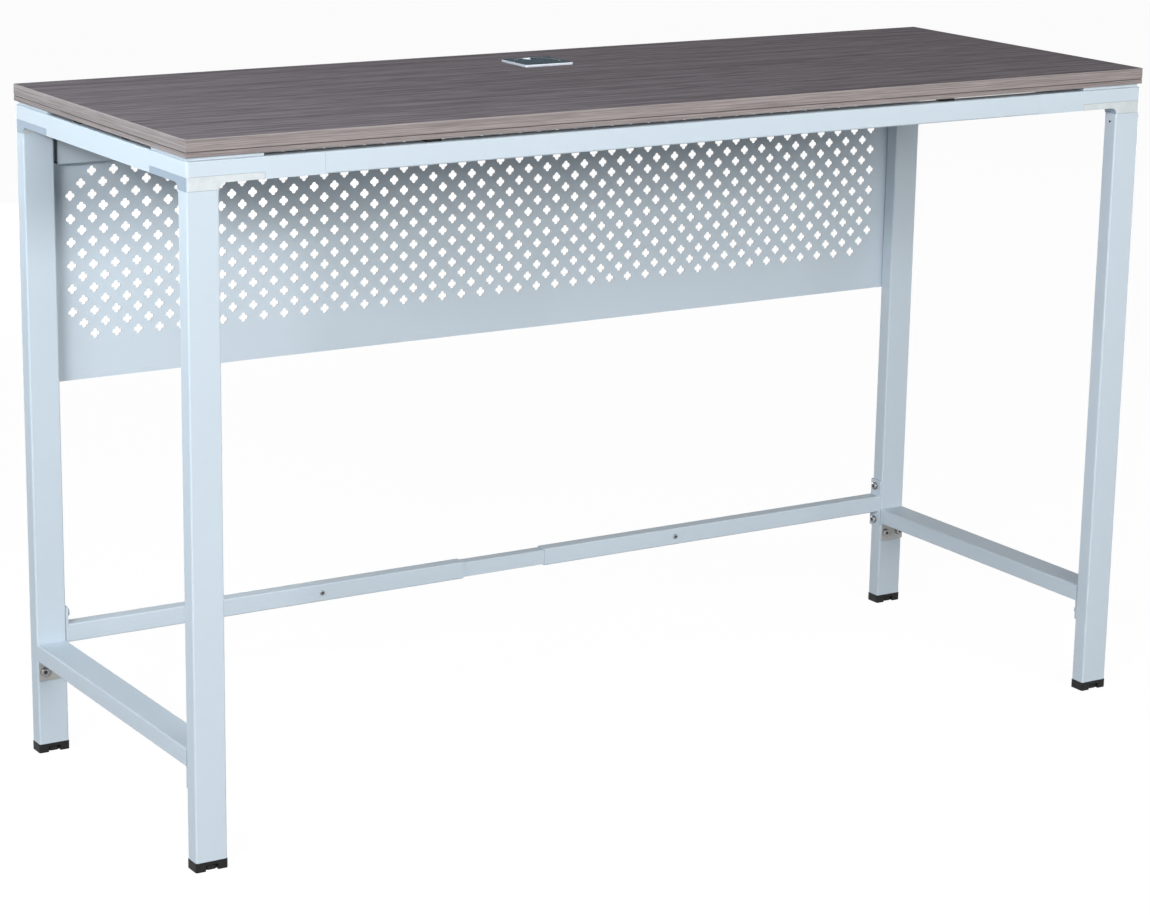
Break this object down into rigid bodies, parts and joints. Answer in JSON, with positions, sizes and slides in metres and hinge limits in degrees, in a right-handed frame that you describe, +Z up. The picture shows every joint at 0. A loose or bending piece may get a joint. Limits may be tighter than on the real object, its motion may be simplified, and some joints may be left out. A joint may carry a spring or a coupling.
{
  "type": "standing desk",
  "caption": "Fixed-height standing desk with a wood-grain laminate top, cable grommet, bolted steel tube frame, perforated back panel, telescoping rear stretcher and screw levelling feet.",
  "frame": {"origin": "on the floor under the middle of the top", "axes": "+X to the user's right along the long side, +Y to the back with the panel, +Z up"},
  "size_m": [1.72, 0.61, 1.0713],
  "materials": {
    "laminate": "textured wood-grain laminate",
    "edge_laminate": "wood-grain edge band",
    "powder_coat": "pale silver powder coat, satin",
    "cast_metal": "satin grey casting",
    "bare_steel": "mill finish",
    "zinc_plate": "bright zinc plate",
    "silver_trim": "satin silver",
    "dark_gloss": "dark grey gloss",
    "black_plastic": "moulded black plastic"
  },
  "bodies": {
    "frame": {"corner_casting_front_left": "cast_metal", "corner_casting_front_right": "cast_metal", "corner_casting_rear_left": "cast_metal", "corner_casting_rear_right": "cast_metal", "corner_spacer_front_left": "powder_coat", "corner_spacer_front_right": "powder_coat", "corner_spacer_rear_left": "powder_coat", "corner_spacer_rear_right": "powder_coat", "edge_band": "edge_laminate", "end_frame_left": "powder_coat", "end_frame_right": "powder_coat", "end_rail_bolt_front_left_inner": "zinc_plate", "end_rail_bolt_front_left_outer": "zinc_plate", "end_rail_bolt_front_right_inner": "zinc_plate", "end_rail_bolt_front_right_outer": "zinc_plate", "end_rail_bolt_rear_left_inner": "zinc_plate", "end_rail_bolt_rear_left_outer": "zinc_plate", "end_rail_bolt_rear_right_inner": "zinc_plate", "end_rail_bolt_rear_right_outer": "zinc_plate", "foot_cap_front_left": "black_plastic", "foot_cap_front_right": "black_plastic", "foot_cap_rear_left": "black_plastic", "foot_cap_rear_right": "black_plastic", "front_rail": "powder_coat", "grommet_frame": "silver_trim", "leg_front_left": "powder_coat", "leg_front_right": "powder_coat", "leg_rear_left": "powder_coat", "leg_rear_right": "powder_coat", "lower_end_rail_left": "powder_coat", "lower_end_rail_right": "powder_coat", "modesty_panel": "powder_coat", "panel_hanger": "powder_coat", "rail_splice_front_left": "bare_steel", "rail_splice_front_right": "bare_steel", "rail_splice_rear_left": "bare_steel", "rail_splice_rear_right": "bare_steel", "rear_rail": "powder_coat", "set_screw_left": "zinc_plate", "set_screw_right": "zinc_plate", "stretcher_bolt_left_lower": "zinc_plate", "stretcher_bolt_left_upper": "zinc_plate", "stretcher_bolt_right_lower": "zinc_plate", "stretcher_bolt_right_upper": "zinc_plate", "stretcher_sleeve_left": "powder_coat", "stretcher_sleeve_right": "powder_coat", "top_board": "laminate"},
    "grommet_cap": {"grommet_cap": "dark_gloss"},
    "stretcher_inner": {"stretcher_inner_tube": "powder_coat"},
    "pad_front_left": {"levelling_pad_front_left": "black_plastic"},
    "stud_front_left": {"levelling_stud_front_left": "zinc_plate"},
    "pad_front_right": {"levelling_pad_front_right": "black_plastic"},
    "stud_front_right": {"levelling_stud_front_right": "zinc_plate"},
    "pad_rear_left": {"levelling_pad_rear_left": "black_plastic"},
    "stud_rear_left": {"levelling_stud_rear_left": "zinc_plate"},
    "pad_rear_right": {"levelling_pad_rear_right": "black_plastic"},
    "stud_rear_right": {"levelling_stud_rear_right": "zinc_plate"}
  },
  "joints": [
    {"name": "grommet_cap_turn", "type": "hinge", "parent": "frame", "child": "grommet_cap", "pos_m": [-0.015, 0.166, 1.0702], "axis": [0, 0, 1], "continuous": true},
    {"name": "stretcher_telescope", "type": "slide", "parent": "frame", "child": "stretcher_inner", "axis": [1, 0, 0], "range_m": [-0.05, 0.05]},
    {"name": "foot_extend_front_left", "type": "slide", "parent": "frame", "child": "pad_front_left", "axis": [0, 0, -1], "range_m": [0, 0.015]},
    {"name": "foot_turn_front_left", "type": "hinge", "parent": "pad_front_left", "child": "stud_front_left", "pos_m": [-0.8335, -0.2895, 0.02], "axis": [0, 0, -1], "range_deg": [-1, 4321]},
    {"name": "foot_extend_front_right", "type": "slide", "parent": "frame", "child": "pad_front_right", "axis": [0, 0, -1], "range_m": [0, 0.015]},
    {"name": "foot_turn_front_right", "type": "hinge", "parent": "pad_front_right", "child": "stud_front_right", "pos_m": [0.8335, -0.2895, 0.02], "axis": [0, 0, -1], "range_deg": [-1, 4321]},
    {"name": "foot_extend_rear_left", "type": "slide", "parent": "frame", "child": "pad_rear_left", "axis": [0, 0, -1], "range_m": [0, 0.015]},
    {"name": "foot_turn_rear_left", "type": "hinge", "parent": "pad_rear_left", "child": "stud_rear_left", "pos_m": [-0.8335, 0.2895, 0.02], "axis": [0, 0, -1], "range_deg": [-1, 4321]},
    {"name": "foot_extend_rear_right", "type": "slide", "parent": "frame", "child": "pad_rear_right", "axis": [0, 0, -1], "range_m": [0, 0.015]},
    {"name": "foot_turn_rear_right", "type": "hinge", "parent": "pad_rear_right", "child": "stud_rear_right", "pos_m": [0.8335, 0.2895, 0.02], "axis": [0, 0, -1], "range_deg": [-1, 4321]}
  ],
  "couplings": [
    {"joint": "foot_turn_front_left", "follows": "foot_extend_front_left", "rad_per_m": 5026.5},
    {"joint": "foot_turn_front_right", "follows": "foot_extend_front_right", "rad_per_m": 5026.5},
    {"joint": "foot_turn_rear_left", "follows": "foot_extend_rear_left", "rad_per_m": 5026.5},
    {"joint": "foot_turn_rear_right", "follows": "foot_extend_rear_right", "rad_per_m": 5026.5}
  ]
}
